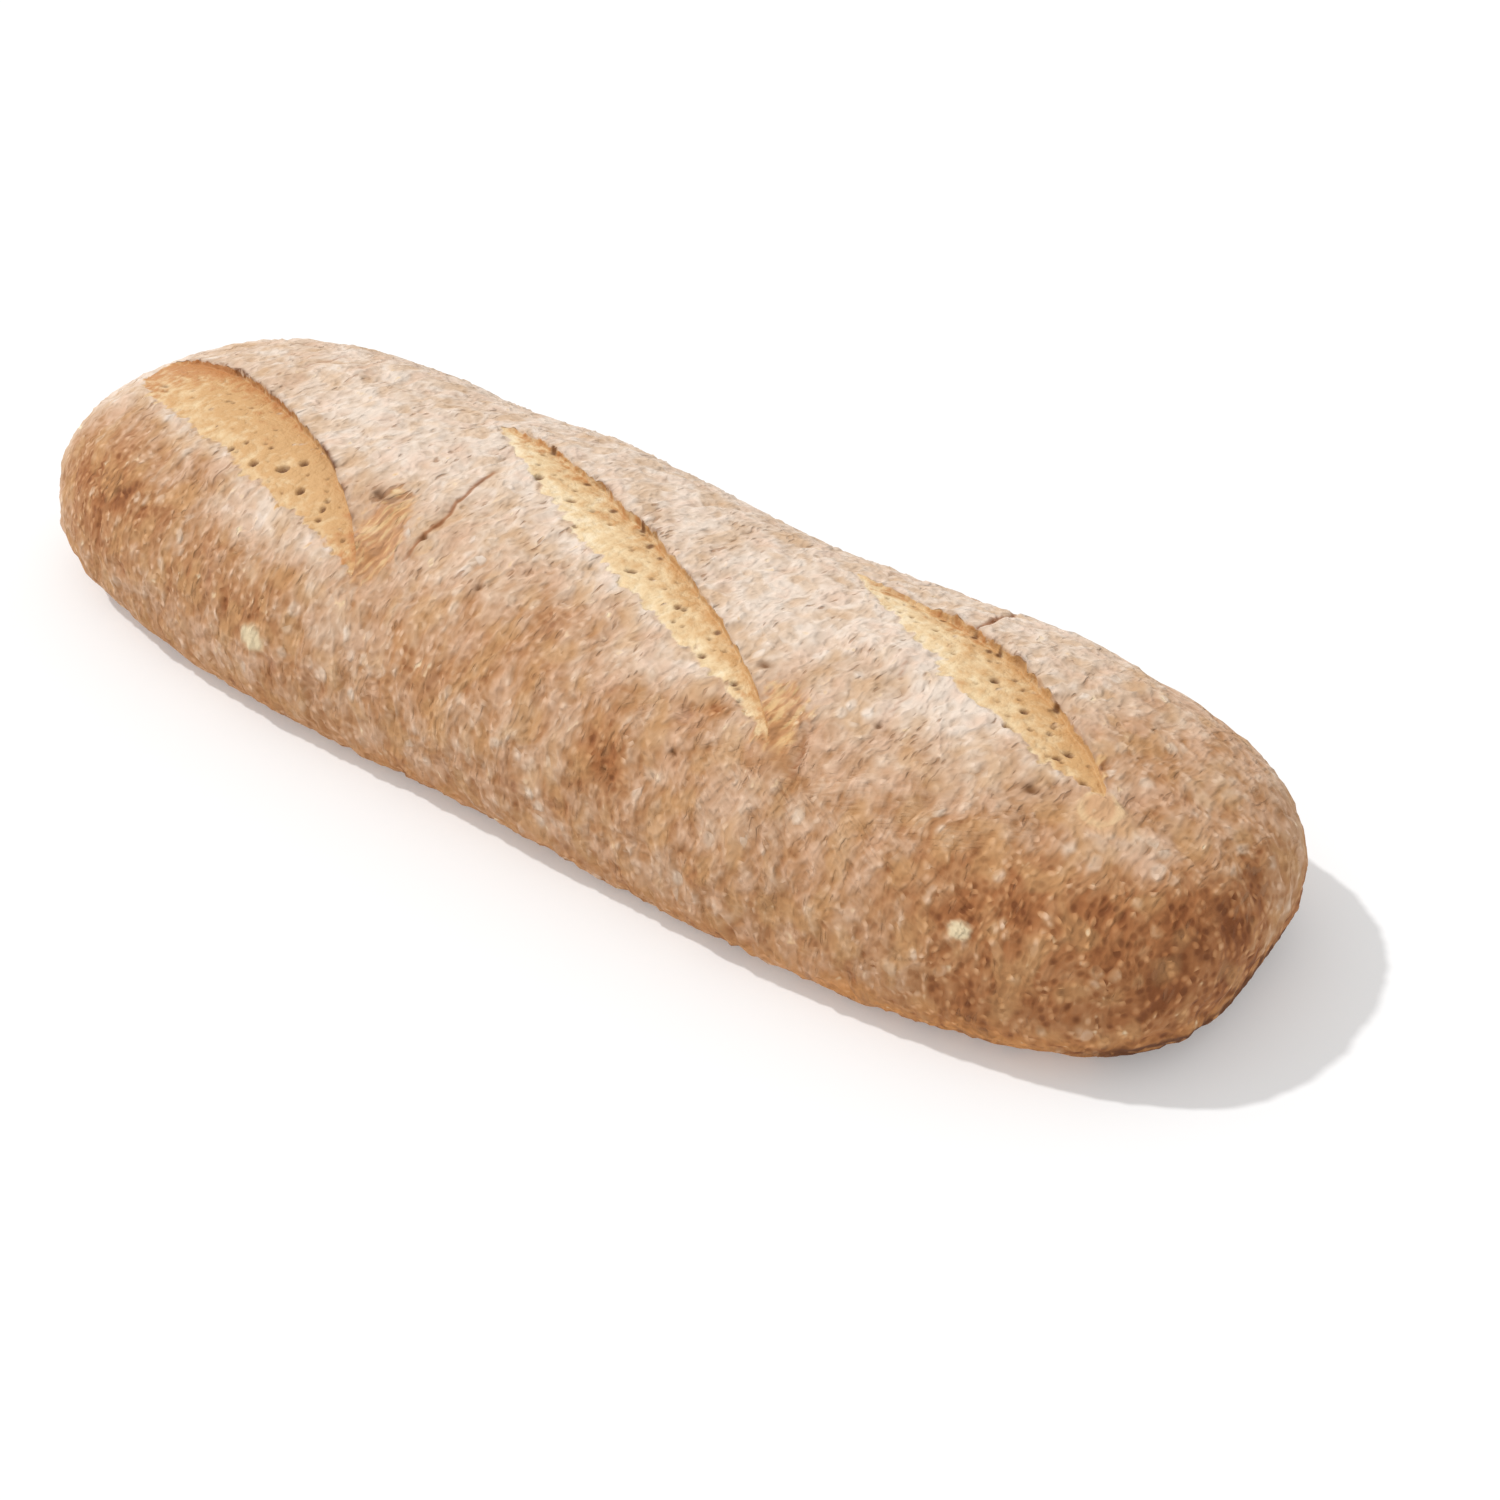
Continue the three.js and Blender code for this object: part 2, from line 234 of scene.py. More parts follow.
# Pores and pits are painted dark inside: painted shade in the holes, fuller in the larger ones.
PORE_DARK = 0.9  # the radius from which a pore looks fully dark
LIP_FADE = (-0.5, 0)
NEAR_FADE = (-2.4, 1.8)
BAKE_FADE = (2, 4)
BAKE_TO_LIP = 0.7
BAKE_EVEN = 0.45  # the v at which the dough is baked as the slash's bake says
GLOW_ACROSS = (0.4, 1)
GLOW_FRONT_LOSS = 0.75
BACK_TIP = (0.05, 0.3)
FRONT_TIP = (0.8, 0.95)
# The dark line just under each lip: partly crust baked dark, partly painted shade in the gap there.
CHAR_AND_SHADE_LINE = {"in": 0.15, "reach": 0.65, "least": 0.3}
FRINGE = {"out": 1.5, "reach": 2.2, "flour": 0.18}  # flour heaped along the near edge
STRAND_SIZE = (1.6, 22, 22)
STRAND_HEIGHT = 0.5


def eased(value, low, high):
    """0 up to low, 1 from high on, and smooth between."""
    t = np.clip((value - low) / (high - low), 0, 1)
    return t * t * (3 - 2 * t)


def arch(s, skew):
    """0 at both ends of a slash and 1 in between; the skew moves its highest place."""
    return np.maximum(np.sin(np.pi * np.clip(s, 0, 1) ** skew), 0)


def grain_of(points, size, seed):
    """A soft random value from about -1 to 1; size is that of its lumps along each axis."""
    places = points / np.array(size, float) + seed
    return np.array([noise.noise(place) for place in places.tolist()])


def place_in_slash(slash, settled):
    """A slash's own measures: s, v, and the distances beyond its lip and its near edge."""
    back = np.array(slash["back"], float)
    along = np.array(slash["front"]) - back
    length = np.linalg.norm(along)
    along /= length
    lipward = np.array([-along[1], along[0]])
    offset = settled[:, :2] - back
    s = offset @ along / length
    across = offset @ lipward
    lip_arch = arch(s, slash["lip_skew"]) ** LIP_FULLNESS
    line = np.stack([s * length, np.full(len(s), slash["seed"]), np.zeros(len(s))], axis=1)
    tear = grain_of(line, (8, 1, 1), 1.5) + 0.8 * grain_of(line, (3, 1, 1), 0.5)
    fray = grain_of(line, (6, 1, 1), 3.5) + 0.8 * grain_of(line, (1.8, 1, 1), 9.5)
    lip = (slash["lip_bow"] + LIP_TEAR * tear) * lip_arch
    near = -slash["near_bow"] * arch(s, slash["near_skew"]) + NEAR_FRAY * fray * lip_arch
    near = np.minimum(near, lip - 0.1)
    return {
        "s": s,
        "v": (across - near) / (lip - near),
        "beyond_lip": across - lip,
        "beyond_near": near - across,
        "arch": lip_arch,
        "within": (s > 0) & (s < 1) & (settled[:, 2] > BELLY_HEIGHT),
        "tear": tear,
        "width": lip - near,
        "length": length,
        "lipward": lipward,
    }


def pores_of(slash):
    """All pores of a slash: the large ones, one by one, and then many small ones."""
    draw = np.random.default_rng(slash["seed"])
    small = [(0.1 + 0.82 * (n + draw.random()) / SMALL_PORES, 0.08 + 0.86 * draw.random(),
              0.4 + 0.35 * draw.random()) for n in range(SMALL_PORES)]
    return list(slash["pores"]) + small


def bake_slash(slash, at, inside, marks):
    """Marks the pale dough and its browner places, the dark lip line (crust baked dark, with painted shade
    under the lip) and the flour at the near edge.
    """
    v = np.clip(at["v"], 0, 1)
    opened = at["within"] * (1 - eased(at["beyond_lip"], *LIP_FADE))
    marks["scar"] = np.maximum(marks["scar"], opened * (1 - eased(at["beyond_near"], *NEAR_FADE)))
    close = 1 - eased(np.maximum(at["beyond_lip"], at["beyond_near"]), *BAKE_FADE)
    bake = slash["bake"][0] + (slash["bake"][1] - slash["bake"][0]) * at["s"]
    bake = (bake + BAKE_TO_LIP * (v - BAKE_EVEN)) * close * at["within"]
    marks["bake"] = np.maximum(marks["bake"], bake)
    back_glow, front_glow = slash["tips"]
    fading = 1 - GLOW_FRONT_LOSS * eased(at["s"], 0.35, 0.6)
    marks["glow"] += inside * slash["glow"] * at["arch"] * eased(v, *GLOW_ACROSS) * fading
    marks["glow"] += inside * back_glow * (1 - eased(at["s"], *BACK_TIP))
    marks["glow"] += inside * front_glow * eased(at["s"], *FRONT_TIP)
    # The dark line along the lip: partly baked-dark crust, partly painted shade under the lip.
    notch = CHAR_AND_SHADE_LINE["least"] + (1 - CHAR_AND_SHADE_LINE["least"]) * eased(at["tear"], 0, 0.5)
    line = bell(at["beyond_lip"] + CHAR_AND_SHADE_LINE["in"], CHAR_AND_SHADE_LINE["reach"])
    marks["char_and_shade"] += slash["char_and_shade"] * at["within"] * line * at["arch"] * notch
    fringe = bell(at["beyond_near"] - FRINGE["out"], FRINGE["reach"]) * at["arch"] * at["within"]
    marks["flour"] += FRINGE["flour"] * fringe


def cut(slash, settled, marks):
    """Opens one slash: sets its marks, and returns its push outward and its lip's shift sideways."""
    at = place_in_slash(slash, settled)
    wall = eased(at["beyond_lip"], -LIP_WALL, 0)
    crust_side = (at["beyond_lip"] > -LIP_WALL) & at["within"]
    inside = at["within"] & (at["beyond_lip"] <= 0) & (at["beyond_near"] <= 0)
    v = np.clip(at["v"], 0, 1)
    drop = DOUGH_DROP_NEAR + (DOUGH_DROP_LIP - DOUGH_DROP_NEAR) * at["arch"] * v ** DROP_CURVE
    push = -drop * (1 - wall) * inside
    push += LIP_RISE * at["arch"] * bell(np.maximum(at["beyond_lip"], 0), LIP_REACH) * wall * crust_side
    curl = LIP_OVERHANG * at["arch"] * wall * (1 - eased(at["beyond_lip"], 0, OVERHANG_REACH)) * crust_side

    pit = np.zeros(len(settled))
    inner, outer = PORE_SIDES
    for s, v_pore, radius in pores_of(slash):
        away = np.hypot((at["s"] - s) * at["length"], (at["v"] - v_pore) * at["width"])
        hole = (1 - eased(away, radius * inner, radius * outer)) * inside
        push -= PORE_DEPTH * radius * hole * (1 - eased(at["v"], *PORES_FLATTEN))
        # A pore's mark paints shade inside the hole.
        pit = np.maximum(pit, hole * min(radius / PORE_DARK, 1))
    marks["pore"] = np.maximum(marks["pore"], pit)
    bake_slash(slash, at, inside, marks)
    return push, -curl[:, None] * at["lipward"]


def folds_in(points, size, seed):
    """Sharp ridges at 0.5, with valleys between them that go down to about -1.5."""
    return 0.5 - 2 * np.abs(grain_of(points, size, seed))


def strands_at(plain, girth, tail):
    """1 where the skin past a slash's front tip has torn into strands; lean is in mm a degree."""
    leaning = plain[:, 0] - tail["lean"] * (girth - tail["girth"])
    return spot_at(leaning, girth, tail)


def strands_of(plain, girth):
    """Where all the torn strands are, and their relief."""
    torn = sum(strands_at(plain, girth, slash["tail"]) for slash in SLASHES)
    return torn, STRAND_HEIGHT * torn * folds_in(plain, STRAND_SIZE, 13.0)


# ---------------------------------------------------------------------------------------------
# Cracks and wrinkles. The crust split where it stretched: one long crack between the first two
# slashes, a short one at the third slash's lip, and a bundle of folds round the near side. A
# blister rose past the third slash, two flakes of dried dough stick on the near side, and the
# whole skin is drawn into folds that run round the loaf.

CRACKS = (
    {"x": (-39.5, -34), "girth": (86, 132), "sway": 0.8, "width": 0.8, "depth": 0.4, "brown": 1.0},
    {"x": (90, 83), "girth": (74, 34), "sway": 0.8, "width": 0.8, "depth": 1.0, "brown": 1.0},
    {"x": (78, 98), "girth": (113, 180), "sway": 0, "width": 1.2, "depth": 0.7, "brown": 0.5},
    {"x": (85, 104), "girth": (122, 176), "sway": 0, "width": 1.0, "depth": 0.6, "brown": 0.4},
    {"x": (91, 92.5), "girth": (99, 110), "sway": 0.3, "width": 0.8, "depth": 0.4, "brown": 0.6},
    {"x": (86, 88), "girth": (92, 100), "sway": -0.5, "width": 0.8, "depth": 0.4, "brown": 0.7},
    {"x": (81, 84), "girth": (122, 142), "sway": 0.5, "width": 0.8, "depth": 0.5, "brown": 0.8},
    {"x": (-119, -116), "girth": (80, 60), "sway": 0.6, "width": 0.8, "depth": 0.5, "brown": 0.8},
    {"x": (-19, -14), "girth": (136, 150), "sway": 0.5, "width": 0.8, "depth": 0.5, "brown": 0.5},
)
BLISTER = {"x": 141.5, "y": -12.5, "radius": 5.0, "rise": 0.8}
FLAKES = (
    {"x": -66, "girth": 163.8, "along": 4.2, "round": 4.6},
    {"x": 131, "girth": 152, "along": 2.5, "round": 3.0},
)
FLAKE_HEIGHT = 0.5
PITS = (
    {"x": 41.4, "girth": 151, "along": 1.2, "round": 1.1},
    {"x": -54.5, "girth": 112, "along": 1.5, "round": 1.3},
    {"x": -35, "girth": 117, "along": 1.1, "round": 0.9},
    {"x": 62, "girth": 111.5, "along": 1.6, "round": 0.9},
    {"x": 128, "girth": 110, "along": 1.8, "round": 1.5},
    {"x": 92.5, "girth": 112.5, "along": 0.9, "round": 0.8},
    {"x": -12, "girth": 123, "along": 0.9, "round": 1.0},
    {"x": 56, "girth": 139, "along": 0.9, "round": 0.8},
)
PIT_DEPTH = 0.9
WRINKLE_HEIGHT = 0.65
FOLD_HEIGHT = 0.5
LUMP_HEIGHT = 0.5
GRAIN_HEIGHT = 0.2


def crack_at(plain, girth, crack):
    """1 along a crack's line, fading to 0 at its sides and ends."""
    first, last = crack["girth"]
    t = (girth - first) / (last - first)
    line = crack["x"][0] + (crack["x"][1] - crack["x"][0]) * t + crack["sway"] * np.sin(np.pi * t)
    wander = 1.2 * grain_of(plain, (9, 6, 6), 4.2) + 0.15 * grain_of(plain, (3, 3, 3), 8.1)
    ends = eased(t, 0, 0.12) * (1 - eased(t, 0.7, 1))
    return bell(plain[:, 0] - line - wander, crack["width"]) * ends


def blister_at(settled):
    """The blister as a cone: 1 in its middle, 0 at its foot."""
    away = np.hypot(settled[:, 0] - BLISTER["x"], settled[:, 1] - BLISTER["y"]) / BLISTER["radius"]
    return np.clip(1 - away, 0, 1) * (settled[:, 2] > BELLY_HEIGHT)


def wrinkles_of(plain):
    """The skin's relief, as a distance along the outward direction, and its ridges for the flour."""
    drift_along = 1.6 * grain_of(plain, (7, 9, 9), 21.0)
    drift_across = 2 * grain_of(plain, (8, 8, 8), 31.0)
    drawn = plain + np.stack([drift_along, drift_across, np.zeros(len(plain))], axis=1)
    wrinkle = folds_in(drawn, (2.7, 5, 5), 0.0)
    fold = folds_in(drawn, (5, 16, 16), 11.0)
    lump = grain_of(plain, (9, 11, 11), 5.0)
    grain = grain_of(drawn, (1.8, 2.6, 2.6), 9.0)
    relief = WRINKLE_HEIGHT * wrinkle + FOLD_HEIGHT * fold + LUMP_HEIGHT * lump + GRAIN_HEIGHT * grain
    return relief, wrinkle + 0.6 * fold


# ---------------------------------------------------------------------------------------------
# Flour. It lies thick on the crown and thins out down the sides; it gathered here and there, and
# where it is missing, mostly at the right-hand end, the crust has browned more. On the right-hand
# end, which faces away from the lamp, the browner crust is partly painted shade.

PATCHES = (
    {"x": -71, "girth": 88, "along": 26, "round": 16, "flour": 0.1},
    {"x": -76, "girth": 131, "along": 18, "round": 6, "flour": 0.36},
    {"x": -120, "girth": 85, "along": 14, "round": 7, "flour": -0.14},
    {"x": -20, "girth": 114, "along": 8, "round": 7, "flour": -0.07},
    {"x": 2, "girth": 112, "along": 6, "round": 6, "flour": -0.07},
    {"x": 80, "girth": 104, "along": 9, "round": 6, "flour": -0.16},
    {"x": 116, "girth": 102, "along": 7, "round": 5, "flour": -0.2},
    {"x": 150, "girth": 114, "along": 8, "round": 6, "flour": 0.12},
    {"x": -22, "girth": 148, "along": 8, "round": 6, "flour": -0.16},
    {"x": -53, "girth": 137, "along": 12, "round": 6, "flour": 0.15},
    {"x": -30, "girth": 130, "along": 12, "round": 12, "flour": 0.1},
    {"x": -40, "girth": 150, "along": 12, "round": 7, "flour": 0.1},
    {"x": 50, "girth": 93, "along": 16, "round": 14, "flour": 0.1},
    {"x": 99, "girth": 100, "along": 14, "round": 8, "flour": 0.16},
    {"x": 40, "girth": 122, "along": 9, "round": 5, "flour": 0.2},
    {"x": 76, "girth": 140, "along": 14, "round": 9, "flour": 0.1},
    {"x": 101, "girth": 141, "along": 8, "round": 6, "flour": 0.08},
    {"x": -125, "girth": 143, "along": 22, "round": 9, "flour": -0.12},
    {"x": -104, "girth": 160, "along": 30, "round": 8, "flour": -0.1},
    {"x": -62, "girth": 155, "along": 10, "round": 12, "flour": -0.12},
    {"x": 12, "girth": 121, "along": 11, "round": 6, "flour": -0.22},
    {"x": -8, "girth": 146, "along": 14, "round": 9, "flour": -0.08},
    {"x": 41, "girth": 150, "along": 6, "round": 9, "flour": -0.28},
    {"x": 60, "girth": 126, "along": 2.5, "round": 2, "flour": -0.45},
    {"x": 112, "girth": 130, "along": 12, "round": 9, "flour": -0.06},
    {"x": 143, "girth": 86, "along": 16, "round": 13, "flour": -0.2},
    {"x": 158, "girth": 141, "along": 12, "round": 14, "flour": -0.16},
    # The right-hand end, away from the lamp: browner crust, partly toast and partly painted shade.
    {"x": 174, "girth": 100, "along": 12, "round": 50, "flour": -0.4},
    {"x": -138, "girth": 142, "along": 24, "round": 22, "flour": -0.17},
    {"x": -178, "girth": 150, "along": 22, "round": 80, "flour": 0.42},
    {"x": 150, "girth": 66, "along": 25, "round": 25, "flour": -0.12},
)
FLOUR_LEAST = 0.1
FLOUR_LOW = 0.42
FLOUR_MORE_ON_CROWN = 0.45
FLOUR_MIDDLE = 71
FLOUR_TURNS = (22, 70)
LESS_TO_THE_RIGHT = {"from": 104, "to": 140, "flour": 0.24}
LESS_TO_THE_LEFT = {"from": 110, "to": 150, "flour": 0.06}
LESS_LOW_DOWN = {"from": 105, "to": 140, "flour": 0.1}
BARE_GROUND = {"x": 143, "girth": 107, "along": 7, "round": 7}
WARM_HEIGHTS = (5, 17)
WARM_LEAST = 0.4
WARMER_TO_THE_RIGHT = (60, 120)
# The dark rim at the foot of the right-hand end: a burnt edge with painted contact shadow.
BASE_RIM = {"x": (153, 166), "height": (8, 11), "char_and_shade": 1.2}
CREASED_LEAST = 0.4
CREASED_FROM = (55, 85)
CREASED_TO = (118, 145)


def less(value, zone):
    """How much less flour there is in a zone, all of it from the zone's end on."""
    return zone["flour"] * eased(value, zone["from"], zone["to"])


def flour_on(settled, girth):
    """How thickly the flour lies, from 0, bare and toasted, to 1."""
    x = settled[:, 0]
    turn = np.abs((girth - FLOUR_MIDDLE + 180) % 360 - 180)
    flour = FLOUR_LOW + FLOUR_MORE_ON_CROWN * (1 - eased(turn, *FLOUR_TURNS))
    flour -= less(x, LESS_TO_THE_RIGHT) + less(-x, LESS_TO_THE_LEFT) + less(turn, LESS_LOW_DOWN)
    flour += sum(patch["flour"] * spot_at(x, girth, patch) for patch in PATCHES)
    return np.maximum(flour, FLOUR_LEAST)


def tint(plain, settled, girth, marks):
    """Marks the bare ground, the warm foot of the flanks, the dark base rim (a burnt edge with painted
    contact shadow) and the creased skin.
    """
    x = plain[:, 0]
    marks["bare"] = spot_at(x, girth, BARE_GROUND)
    low_down = 1 - eased(settled[:, 2], *WARM_HEIGHTS)
    marks["warm"] = low_down * (WARM_LEAST + (1 - WARM_LEAST) * eased(x, *WARMER_TO_THE_RIGHT))
    # The base rim is painted dark: a burnt edge and painted contact shadow where the loaf meets the table.
    rim = eased(x, *BASE_RIM["x"]) * (1 - eased(settled[:, 2], *BASE_RIM["height"]))
    marks["char_and_shade"] += BASE_RIM["char_and_shade"] * rim
    on_crown = eased(girth, *CREASED_FROM) * (1 - eased(girth, *CREASED_TO))
    marks["creased"] = CREASED_LEAST + (1 - CREASED_LEAST) * on_crown


# ---------------------------------------------------------------------------------------------
# Loaf. The crust is meshed as a net drawn over the dough form, finer on what can be seen of it
# and finest in the slashes, and pushed in and out by everything above. Each mark is a value that
# the mesh carries at its points, most of them from 0 to 1, for the finish below.

MM = 0.001  # metres; the sizes above are in millimetres
NET_CELLS = (136, 46, 28)
RELIEF_IN_SLASHES = 0.12  # the share of the skin's relief that the smooth dough has


def spread(count, exponent):
    """Steps from -1 to 1 that give even cells once they are drawn onto the rounded form."""
    even = np.linspace(-1, 1, count + 1) * 2 ** (-1 / exponent)
    return even * (1 - np.abs(even) ** exponent) ** (-1 / exponent)


def cube_net():
    """A closed net of quads over a cube from -1 to 1, as a bmesh."""
    faces = []
    for axis in range(3):
        u = (axis + 1) % 3
        v = (axis + 2) % 3
        i, j = (grid.ravel() for grid in np.mgrid[0:NET_CELLS[u], 0:NET_CELLS[v]])
        for side in (0, NET_CELLS[axis]):
            ring = [(0, 0), (1, 0), (1, 1), (0, 1)]
            if side == 0:
                ring.reverse()
            face = np.full((len(i), 4, 3), side)
            for corner, (step_u, step_v) in enumerate(ring):
                face[:, corner, u] = i + step_u
                face[:, corner, v] = j + step_v
            faces.append(face)
    knots, index = np.unique(np.concatenate(faces).reshape(-1, 3), axis=0, return_inverse=True)
    steps = [spread(NET_CELLS[0], END_SQUARENESS), spread(NET_CELLS[1], CROWN_FULLNESS),
             spread(NET_CELLS[2], CROWN_FULLNESS)]
    ways = np.stack([steps[axis][knots[:, axis]] for axis in range(3)], axis=1)
    mesh = bpy.data.meshes.new("net")
    mesh.from_pydata(ways.tolist(), [], index.reshape(-1, 4).tolist())
    net = bmesh.new()
    net.from_mesh(mesh)
    bpy.data.meshes.remove(mesh)
    return net


def halve(net, wanted):
    """Halves the cells of the net, both ways, where wanted says so of their middles."""
    middles = plain_form(np.array([face.calc_center_median() for face in net.faces]))
    chosen = wanted(middles)
    edges = {edge for face, pick in zip(net.faces, chosen) if pick for edge in face.edges}
    bmesh.ops.subdivide_edges(net, edges=list(edges), cuts=1, use_grid_fill=True)


def above_tray(middles):
    return middles[:, 2] > -BELLY_HEIGHT - 1


def in_a_slash(middles):
    settled = settle(middles)
    inside = np.zeros(len(middles), bool)
    for slash in SLASHES:
        at = place_in_slash(slash, settled)
        inside |= (at["beyond_lip"] < 1.5) & (at["beyond_near"] < 0.6) & at["within"]
    return inside


def at_a_lip_crack_or_pit(middles):
    settled = settle(middles)
    girth = girth_of(middles)
    close = sum(crack_at(middles, girth, crack) for crack in CRACKS[:2]) > 0.05
    close |= sum(spot_at(middles[:, 0], girth, pit) for pit in PITS) > 0.05
    for slash in SLASHES:
        at = place_in_slash(slash, settled)
        close |= (np.abs(at["beyond_lip"] + 0.2) < 0.9) & at["within"]
    return close


net = cube_net()
halve(net, above_tray)
halve(net, in_a_slash)
halve(net, at_a_lip_crack_or_pit)
plain = plain_form(np.array([vertex.co for vertex in net.verts]))
outward = outward_of(plain)
girth = girth_of(plain)
settled = settle(plain)

SLASH_AND_CRACK_MARKS = ("scar", "bake", "glow", "char_and_shade", "pore", "flour", "crack")
marks = {name: np.zeros(len(plain)) for name in SLASH_AND_CRACK_MARKS}
push = swell_of(plain, girth)
shift = np.zeros((len(plain), 2))
for slash in SLASHES:
    slash_push, slash_shift = cut(slash, settled, marks)
    push += slash_push
    shift += slash_shift
crust_share = 1 - marks["scar"]
for crack in CRACKS:
    groove = crack_at(plain, girth, crack) * crust_share
    push -= crack["depth"] * groove
    marks["crack"] = np.maximum(marks["crack"], groove * crack["brown"])
relief, marks["ridge"] = wrinkles_of(plain)
push += relief * (RELIEF_IN_SLASHES + (1 - RELIEF_IN_SLASHES) * crust_share)
marks["fibre"], strands = strands_of(plain, girth)
push += strands
marks["blister"] = blister_at(settled)
push += BLISTER["rise"] * eased(marks["blister"], 0, 0.5)
marks["flake"] = sum(spot_at(plain[:, 0], girth, flake) for flake in FLAKES)
push += FLAKE_HEIGHT * eased(marks["flake"], 0.3, 0.6)
pits = sum(spot_at(plain[:, 0], girth, pit) for pit in PITS)
push -= PIT_DEPTH * pits
# The pits are painted dark too: painted shade in the holes.
marks["pore"] = np.maximum(marks["pore"], pits)
marks["flour"] += flour_on(settled, girth)
tint(plain, settled, girth, marks)

points = settle(rest_on_tray(plain + outward * push[:, None]))
points[:, :2] += shift
points[:, 2] = np.maximum(points[:, 2], 0)
low = points.min(axis=0)
high = points.max(axis=0)
points -= [(low[0] + high[0]) / 2, (low[1] + high[1]) / 2, low[2]]
points *= np.minimum(1, np.subtract(cad_box[1], cad_box[0]) / MM / (high - low))
for vertex, point in zip(net.verts, points * MM):
    vertex.co = point

loaf_mesh = bpy.data.meshes.new("loaf_crust")
net.to_mesh(loaf_mesh)
net.free()
for name, values in marks.items():
    attribute = loaf_mesh.attributes.new(name, "FLOAT", "POINT")
    attribute.data.foreach_set("value", values.astype(np.float32))
loaf_mesh.shade_smooth()
loaf = bpy.data.objects.new("loaf_crust", loaf_mesh)
bpy.context.scene.collection.objects.link(loaf)

# ---------------------------------------------------------------------------------------------
# Crust finish. Wheat crust baked tan and toasted in places, under flour that breaks up into
# patches and strokes; pale yellow dough with orange-brown edges in the slashes.


def colour(red, green, blue):
    """A colour given as it looks on screen, from 0 to 255, as the linear values of the shader."""
    return tuple(((c / 255 + 0.055) / 1.055) ** 2.4 for c in (red, green, blue)) + (1.0,)


CRUST_BY_FLOUR = (
    (0.0, colour(130, 76, 40)),
    (0.15, colour(160, 104, 62)),
    (0.35, colour(179, 131, 90)),
    (0.52, colour(193, 155, 123)),
    (0.75, colour(209, 182, 157)),
    (1.0, colour(226, 209, 193)),
)
ROSY_TAN = colour(216, 178, 152)
GOLDEN_TAN = colour(198, 154, 104)
CREASE_BROWN = colour(152, 110, 78)
WARM_TAN = colour(200, 140, 84)
BARE_TAN = colour(206, 162, 120)
CRUMB_PALE = colour(228, 200, 157)
CRUMB = colour(206, 162, 110)
CRUMB_BAKED = colour(192, 134, 82)
CRUMB_PALEST = colour(236, 216, 182)
STRAND_BROWN = colour(164, 108, 58)
STRAND_PALE = colour(218, 178, 122)
# Colour of the dark lip line and base rim: baked-dark crust with painted shade.
CHAR_AND_SHADE_BROWN = colour(108, 64, 34)
# The painted shade inside pores and pits.
PORE_SHADE = colour(116, 76, 42)
CRACK_BROWN = colour(150, 92, 50)
FLAKE_CREAM = colour(222, 202, 166)

finish = bpy.data.materials.new("floured_crust")
finish.use_nodes = True
crust_nodes = finish.node_tree.nodes
crust_links = finish.node_tree.links
crust_nodes.clear()


def add(kind, inputs, **settings):
    """A node of the crust's finish; its inputs are values or other nodes' outputs."""
    node = crust_nodes.new(kind)
    for setting, value in settings.items():
        setattr(node, setting, value)
    for socket, value in inputs.items():
        if isinstance(value, bpy.types.NodeSocket):
            crust_links.new(value, node.inputs[socket])
        else:
            node.inputs[socket].default_value = value
    return node


def mark(name):
    """A value that the mesh carries at each of its points."""
    return add("ShaderNodeAttribute", {}, attribute_name=name).outputs["Fac"]


WAVER_SIZE = 10
WAVER_REACH = 3

steady_place = add("ShaderNodeTexCoord", {}).outputs["Object"]
waver = add("ShaderNodeTexNoise", {
    "Vector": steady_place, "Scale": 1 / (WAVER_SIZE * MM), "Detail": 0.0,
}).outputs["Color"]
loaf_place = add("ShaderNodeVectorMath", {
    0: waver, 1: (WAVER_REACH * MM, WAVER_REACH * MM, WAVER_REACH * MM), 2: steady_place,
}, operation="MULTIPLY_ADD").outputs["Vector"]


def place_for(size, seed):
    """The place on the loaf, gently wavering, counted in a size in millimetres along each axis."""
    return add("ShaderNodeMapping", {
        "Vector": loaf_place,
        "Location": (seed, seed, seed),
        "Scale": tuple(1 / (MM * s) for s in size),
    }).outputs["Vector"]


def speckle(size, detail, rough, seed):
    """Soft random speckles from 0 to 1, of a size in millimetres along each axis."""
    return add("ShaderNodeTexNoise", {
        "Vector": place_for(size, seed), "Scale": 1.0, "Detail": detail, "Roughness": rough,
    }).outputs["Fac"]


def cells(size, seed):
    """Rounded cells of a size in millimetres: the distance from their middles, and a value of each."""
    node = add("ShaderNodeTexVoronoi", {"Vector": place_for(size, seed), "Scale": 1.0})
    return node.outputs["Distance"], node.outputs["Color"]


def between(value, low, high):
    """0 where a value is low, 1 where it is high, and smooth between."""
    return add("ShaderNodeMapRange", {"Value": value, "From Min": low, "From Max": high},
               interpolation_type="SMOOTHSTEP").outputs["Result"]


def times(first, second):
    """One value times another; either may be a number."""
    return add("ShaderNodeMath", {0: first, 1: second}, operation="MULTIPLY").outputs[0]


def plus(first, *others):
    """The sum of values; the later ones may be numbers."""
    for other in others:
        first = add("ShaderNodeMath", {0: first, 1: other}, operation="ADD").outputs[0]
    return first


def swing(speckles, reach):
    """The speckles as a value around 0, that goes up and down by half of reach at most."""
    return add("ShaderNodeMath", {0: speckles, 1: reach, 2: -reach / 2},
               operation="MULTIPLY_ADD").outputs[0]


def shades(value, stops):
    """A colour that runs through the stops as the value rises."""
    node = add("ShaderNodeValToRGB", {"Fac": value})
    elements = node.color_ramp.elements
    elements.remove(elements[-1])
    elements[0].position, elements[0].color = stops[0]
    for position, shade in stops[1:]:
        elements.new(position).color = shade
    return node.outputs["Color"]


def over(share, under, top):
    """The colour under, with the colour top laid over a share of it."""
    return add("ShaderNodeMix", {0: share, 6: under, 7: top}, data_type="RGBA").outputs[2]


